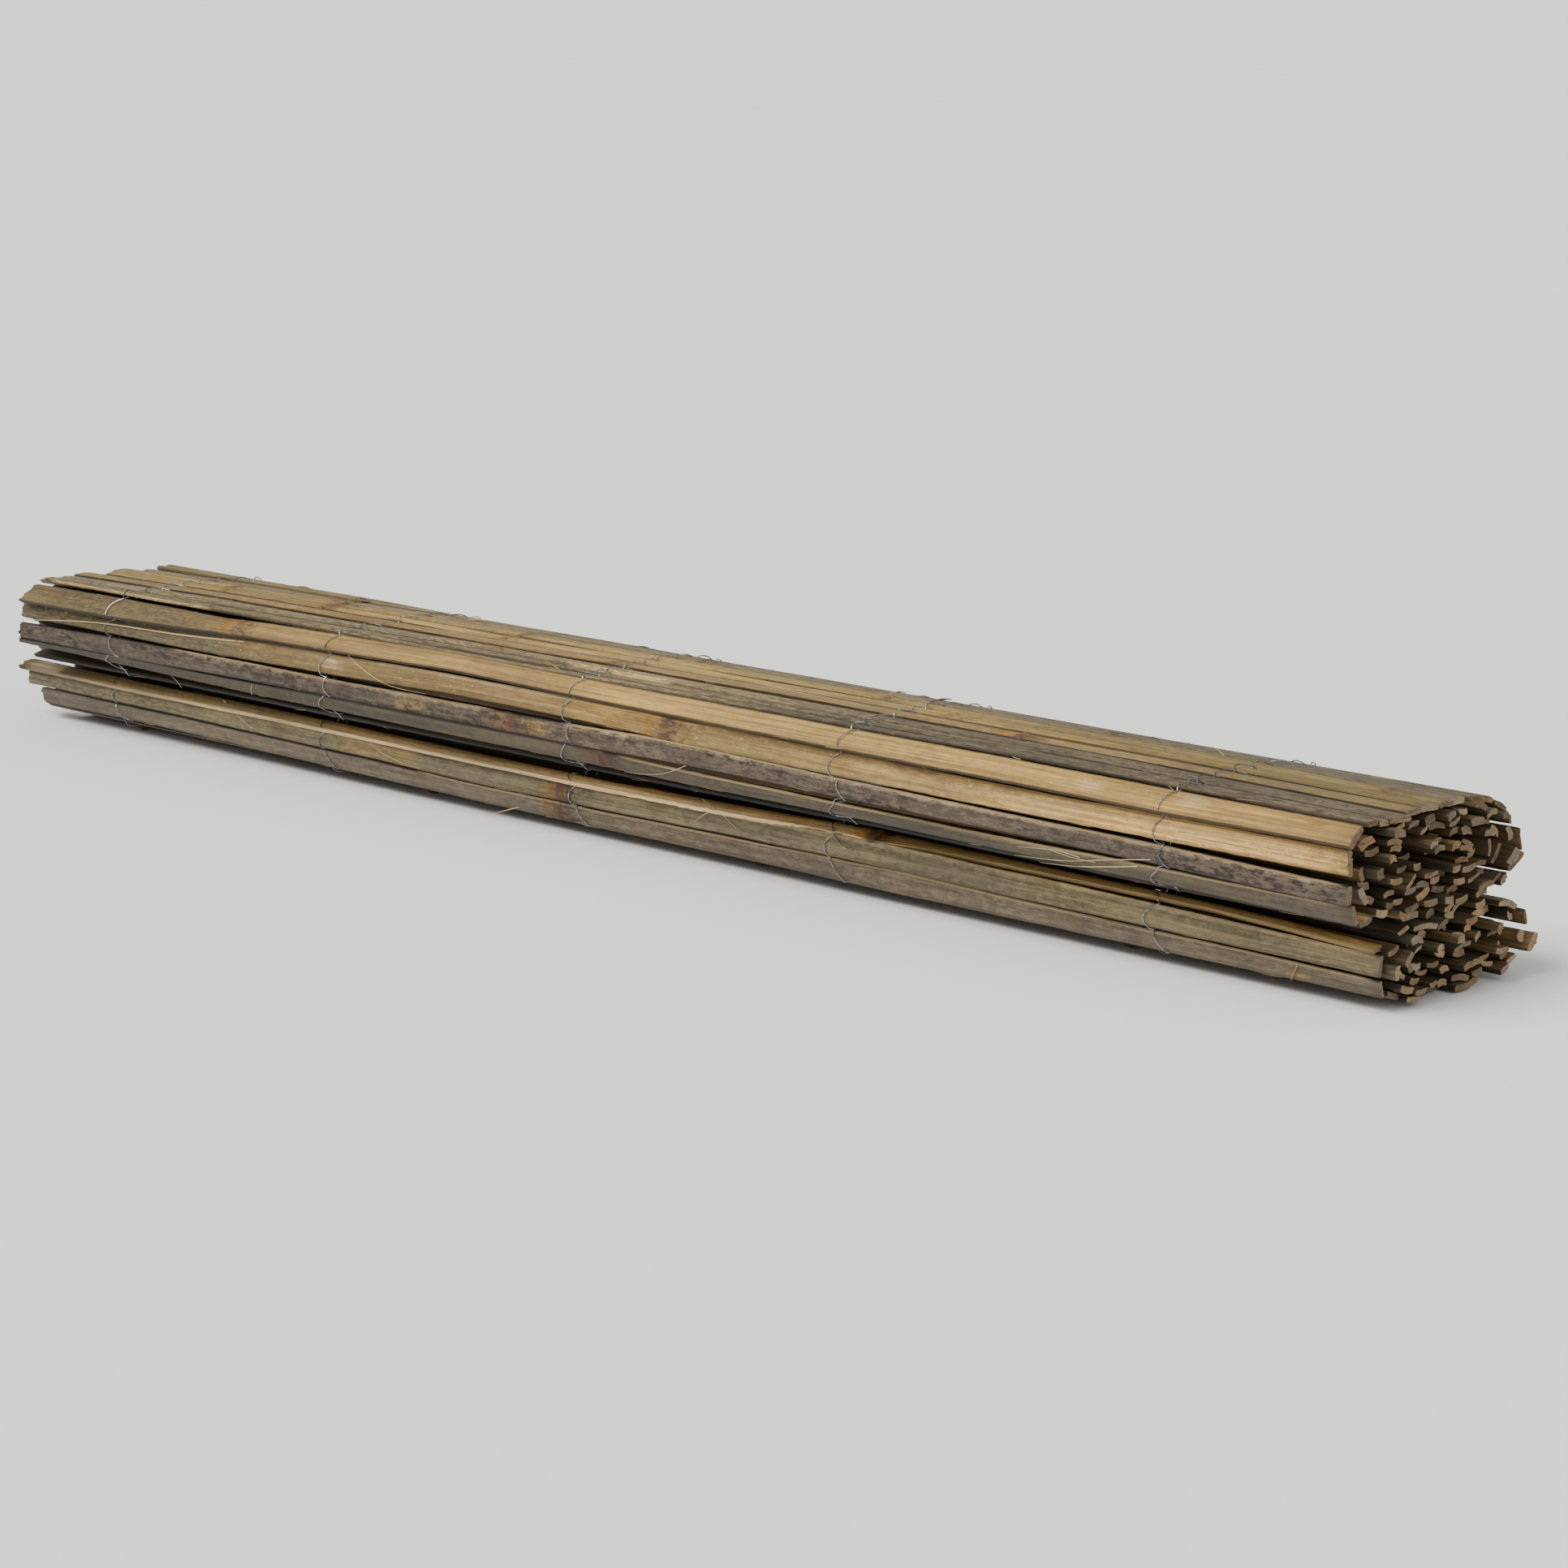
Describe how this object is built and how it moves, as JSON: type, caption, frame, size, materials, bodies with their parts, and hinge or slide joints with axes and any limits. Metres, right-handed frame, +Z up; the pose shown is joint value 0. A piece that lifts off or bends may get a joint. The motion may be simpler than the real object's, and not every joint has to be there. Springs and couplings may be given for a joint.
{
  "type": "bamboo screen",
  "caption": "Split-bamboo garden screen bound with rows of twisted galvanized wire, rolled from both ends into two flattened rolls and lying on its side.",
  "frame": {"origin": "on the floor under the middle of the bundle", "axes": "X along the slats, +X the end that is nearer in the picture, +Y from the pictured long side to the back, +Z up"},
  "size_m": [1.014, 0.1369, 0.0914],
  "materials": {
    "bamboo_weathered": "weathered bamboo skin, grey-olive to tan, matt",
    "bamboo_inner": "dry split bamboo, tan to brown, matt",
    "galvanized_wire": "dull zinc, slightly spotted"
  },
  "bodies": {
    "root": {"lower_roll_outer_slat_01": "bamboo_weathered", "lower_roll_outer_slat_02": "bamboo_weathered", "lower_roll_outer_slat_03": "bamboo_weathered", "lower_roll_outer_slat_04": "bamboo_weathered", "lower_roll_outer_slat_05": "bamboo_weathered", "lower_roll_outer_slat_06": "bamboo_weathered", "lower_roll_outer_slat_07": "bamboo_weathered", "lower_roll_outer_slat_08": "bamboo_weathered", "lower_roll_outer_slat_09": "bamboo_weathered", "lower_roll_outer_slat_10": "bamboo_weathered", "lower_roll_outer_slat_11": "bamboo_weathered", "lower_roll_outer_slat_12": "bamboo_weathered", "lower_roll_outer_slat_13": "bamboo_weathered", "lower_roll_outer_slat_14": "bamboo_weathered", "lower_roll_outer_slat_15": "bamboo_weathered", "lower_roll_outer_slat_16": "bamboo_weathered", "lower_roll_outer_slat_17": "bamboo_weathered", "upper_roll_outer_slat_01": "bamboo_weathered", "upper_roll_outer_slat_02": "bamboo_weathered", "upper_roll_outer_slat_03": "bamboo_weathered", "upper_roll_outer_slat_04": "bamboo_weathered", "upper_roll_outer_slat_05": "bamboo_weathered", "upper_roll_outer_slat_06": "bamboo_weathered", "upper_roll_outer_slat_07": "bamboo_weathered", "upper_roll_outer_slat_08": "bamboo_weathered", "upper_roll_outer_slat_09": "bamboo_weathered", "upper_roll_outer_slat_10": "bamboo_weathered", "upper_roll_outer_slat_11": "bamboo_weathered", "upper_roll_outer_slat_12": "bamboo_weathered", "upper_roll_outer_slat_13": "bamboo_weathered", "upper_roll_outer_slat_14": "bamboo_weathered", "upper_roll_outer_slat_15": "bamboo_weathered", "upper_roll_outer_slat_16": "bamboo_weathered", "upper_roll_outer_slat_17": "bamboo_weathered", "upper_roll_outer_slat_18": "bamboo_weathered", "upper_roll_outer_slat_19": "bamboo_weathered", "lower_roll_core_slats": "bamboo_inner", "lower_roll_turn_3_slats": "bamboo_inner", "lower_roll_turn_2_slats": "bamboo_inner", "lower_roll_turn_1_top_slats": "bamboo_inner", "middle_layer_slats": "bamboo_inner", "upper_roll_turn_1_bottom_slats": "bamboo_inner", "upper_roll_turn_2_top_slats": "bamboo_inner", "upper_roll_turn_2_bottom_slats": "bamboo_inner", "upper_roll_turn_3_top_slats": "bamboo_inner", "upper_roll_turn_3_bottom_slats": "bamboo_inner", "upper_roll_turn_4_top_slats": "bamboo_inner", "upper_roll_turn_4_bottom_slats": "bamboo_inner", "upper_roll_core_slats": "bamboo_inner", "wire_row_1_strand_a": "galvanized_wire", "wire_row_1_strand_b": "galvanized_wire", "wire_row_2_strand_a": "galvanized_wire", "wire_row_2_strand_b": "galvanized_wire", "wire_row_3_strand_a": "galvanized_wire", "wire_row_3_strand_b": "galvanized_wire", "wire_row_4_strand_a": "galvanized_wire", "wire_row_4_strand_b": "galvanized_wire", "wire_row_5_strand_a": "galvanized_wire", "wire_row_5_strand_b": "galvanized_wire"}
  },
  "joints": []
}
